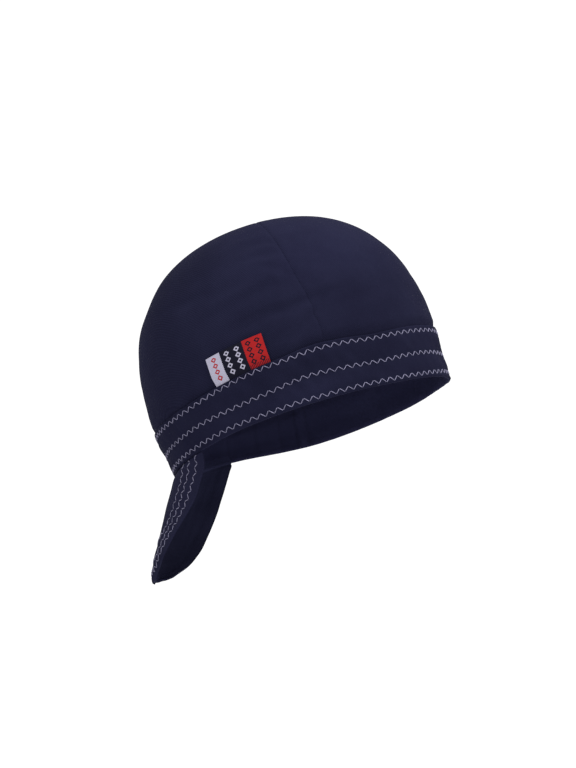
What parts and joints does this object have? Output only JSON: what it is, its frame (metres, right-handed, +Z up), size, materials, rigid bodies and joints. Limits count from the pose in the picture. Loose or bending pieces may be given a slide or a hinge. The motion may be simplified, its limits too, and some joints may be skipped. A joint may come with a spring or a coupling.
{
  "type": "welding cap",
  "caption": "Soft close-fitting cloth skull cap with a deep sewn crown, a wide doubled band, a curved neck tail and a small woven label.",
  "frame": {"origin": "centre of the head opening at the rim, where the cap sits on the head", "axes": "+X to the front, +Y to the wearer's left, +Z up, with the rim tipped 18 degrees, front up, as it is worn"},
  "size_m": [0.2156, 0.1688, 0.2554],
  "materials": {
    "crown_cloth": "navy twill cotton, matt with a faint sheen",
    "band_cloth": "navy twill cotton, doubled, with rows of pale zigzag stitching",
    "tail_cloth": "navy twill cotton, doubled, with rows of pale zigzag stitching",
    "label_weave": "woven label in pale grey, near black and red"
  },
  "bodies": {
    "root": {"crown_front": "crown_cloth", "crown_back": "crown_cloth", "band": "band_cloth", "tail": "tail_cloth", "label": "label_weave"}
  },
  "joints": []
}
